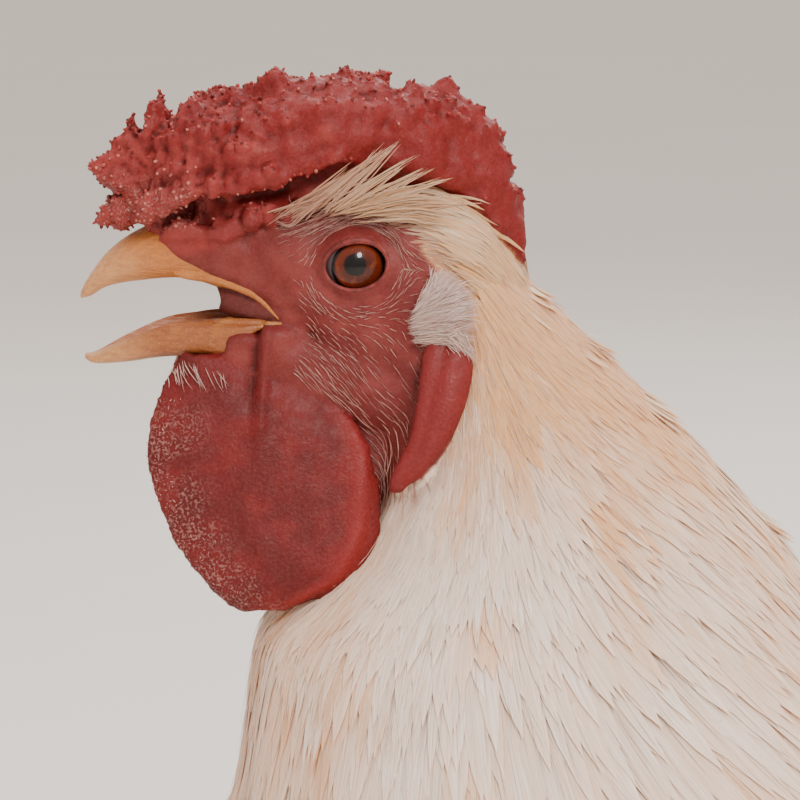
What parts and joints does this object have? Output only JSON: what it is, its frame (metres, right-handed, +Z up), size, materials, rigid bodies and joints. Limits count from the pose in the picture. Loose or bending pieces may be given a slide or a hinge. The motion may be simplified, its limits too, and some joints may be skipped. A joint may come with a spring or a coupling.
{
  "type": "rooster",
  "caption": "Life-size standing rooster with a large rough comb, long wattles, open beak, full neck hackle and curved tail feathers, as a still display model.",
  "frame": {"origin": "centre of the bounding box at the floor", "axes": "+Z up; the bird faces -X; its left side is -Y"},
  "size_m": [0.494, 0.198, 0.4593],
  "materials": {
    "plumage": "matte cream-white feathers with buff streaks",
    "skin": "satin red skin, dry and flaky on the wattle's front",
    "comb": "rough warty red comb",
    "horn": "semi-gloss yellow horn, paler at the tips",
    "mouth": "moist pink-brown",
    "eye": "glossy orange-brown iris with a black pupil",
    "leg": "dry yellow leg scales"
  },
  "bodies": {
    "root": {"head": "skin", "neck": "plumage", "comb": "comb", "beak_upper": "horn", "beak_lower": "horn", "tongue": "mouth", "trunk": "plumage", "eye_left": "eye", "wattle_left": "skin", "earlobe_left": "skin", "ear_tuft_left": "plumage", "wing_bow_left": "plumage", "wing_secondaries_left": "plumage", "wing_primaries_left": "plumage", "thigh_left": "plumage", "shank_left": "leg", "spur_left": "horn", "toe_inner_left": "leg", "claw_inner_left": "horn", "toe_middle_left": "leg", "claw_middle_left": "horn", "toe_outer_left": "leg", "claw_outer_left": "horn", "toe_hind_left": "leg", "claw_hind_left": "horn", "tail_feathers_left": "plumage", "sickle_1_left": "plumage", "sickle_2_left": "plumage", "sickle_3_left": "plumage", "sickle_4_left": "plumage", "eye_right": "eye", "wattle_right": "skin", "earlobe_right": "skin", "ear_tuft_right": "plumage", "wing_bow_right": "plumage", "wing_secondaries_right": "plumage", "wing_primaries_right": "plumage", "thigh_right": "plumage", "shank_right": "leg", "spur_right": "horn", "toe_inner_right": "leg", "claw_inner_right": "horn", "toe_middle_right": "leg", "claw_middle_right": "horn", "toe_outer_right": "leg", "claw_outer_right": "horn", "toe_hind_right": "leg", "claw_hind_right": "horn", "tail_feathers_right": "plumage", "sickle_1_right": "plumage", "sickle_2_right": "plumage", "sickle_3_right": "plumage", "sickle_4_right": "plumage"}
  },
  "joints": []
}
